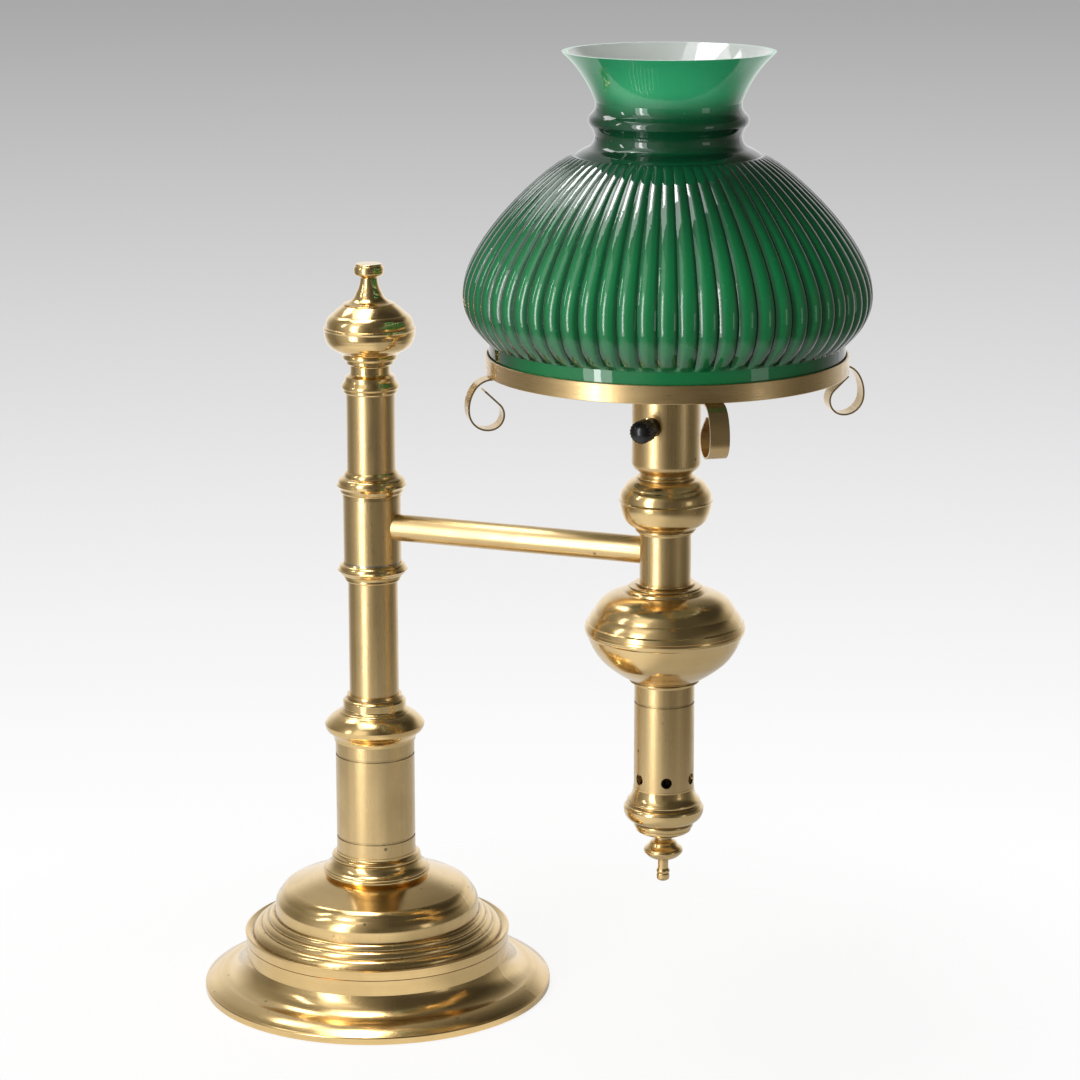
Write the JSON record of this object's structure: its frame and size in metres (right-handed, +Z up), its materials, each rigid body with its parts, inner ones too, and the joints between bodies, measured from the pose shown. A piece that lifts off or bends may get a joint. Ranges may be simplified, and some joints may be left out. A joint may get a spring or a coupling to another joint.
{
  "type": "student lamp",
  "caption": "Brass student lamp: weighted round foot, column with a swivelling side arm, burner-shaped socket stem, and a ribbed green glass shade resting in a ring.",
  "frame": {"origin": "on the column's axis, at the underside of the felt pad", "axes": "+Z up along the column, +X from the column along the arm to the burner in the rest pose, +Y to the far side"},
  "size_m": [0.3561, 0.2028, 0.5032],
  "materials": {
    "turned_brass": "polished, with fine wipe marks and some tarnish in the grooves",
    "drawn_brass": "satin, brushed along the tube",
    "green_felt": "matt felt",
    "grey_iron": "as cast, machined on the seats",
    "plain_steel": "plated, dull",
    "black_bushing": "moulded, matt",
    "black_knob": "moulded, half gloss",
    "lead_sleeve": "smooth sleeve",
    "socket_porcelain": "glazed white",
    "green_glass": "cased glass, green outside and white inside, glossy",
    "frosted_glass": "frosted inside",
    "nickel_cap": "bright, thin plated"
  },
  "bodies": {
    "stand": {"felt_pad": "green_felt", "foot_flange": "turned_brass", "base_dome": "turned_brass", "base_weight": "grey_iron", "base_washer": "plain_steel", "base_nut": "plain_steel", "lead_pipe": "plain_steel", "inlet_bushing": "black_bushing", "column_lead": "lead_sleeve", "base_collar": "turned_brass", "lower_sleeve": "drawn_brass", "column_collar": "turned_brass", "lower_tube": "drawn_brass", "lower_ring": "turned_brass", "thrust_washer": "plain_steel", "spindle": "plain_steel", "upper_ring": "turned_brass", "upper_tube": "drawn_brass", "column_cap": "turned_brass", "top_rod": "plain_steel", "finial_bowl": "turned_brass", "finial_dome": "turned_brass", "finial_knob": "turned_brass"},
    "arm": {"arm_sleeve": "drawn_brass", "arm_nipple": "plain_steel", "arm_tube": "drawn_brass", "arm_ferrule": "plain_steel", "arm_lead": "lead_sleeve", "burner_tube": "drawn_brass", "upper_plug": "plain_steel", "lower_plug": "plain_steel", "socket_nipple": "plain_steel", "burner_rod": "plain_steel", "ball_lower": "turned_brass", "ball_upper": "turned_brass", "font_upper": "turned_brass", "font_lower": "turned_brass", "canister": "drawn_brass", "drip_cup": "turned_brass", "bottom_finial": "turned_brass", "rod_nut": "plain_steel", "socket_shell": "drawn_brass", "socket_core": "socket_porcelain", "socket_rim": "turned_brass", "screw_shell": "turned_brass", "centre_contact": "turned_brass", "switch_bushing": "turned_brass", "holder_hub": "turned_brass", "holder_nut": "turned_brass", "shade_ring": "drawn_brass", "scroll_strip_1": "drawn_brass", "scroll_strip_2": "drawn_brass", "scroll_strip_3": "drawn_brass", "scroll_strip_4": "drawn_brass", "bulb_cap": "nickel_cap", "bulb_envelope": "frosted_glass"},
    "knob": {"switch_knob": "black_knob", "switch_shaft": "plain_steel"},
    "shade": {"shade": "green_glass"}
  },
  "joints": [
    {"name": "arm_swivel", "type": "hinge", "parent": "stand", "child": "arm", "pos_m": [0, 0, 0.2524], "axis": [0, 0, 1], "range_deg": [-100, 100]},
    {"name": "knob_turn", "type": "hinge", "parent": "arm", "child": "knob", "pos_m": [0.16109, -0.01731, 0.3194], "axis": [-0.0698, -0.9976, 0], "continuous": true},
    {"name": "shade_lift", "type": "slide", "parent": "arm", "child": "shade", "axis": [0, 0, 1], "range_m": [0, 0.06]}
  ]
}
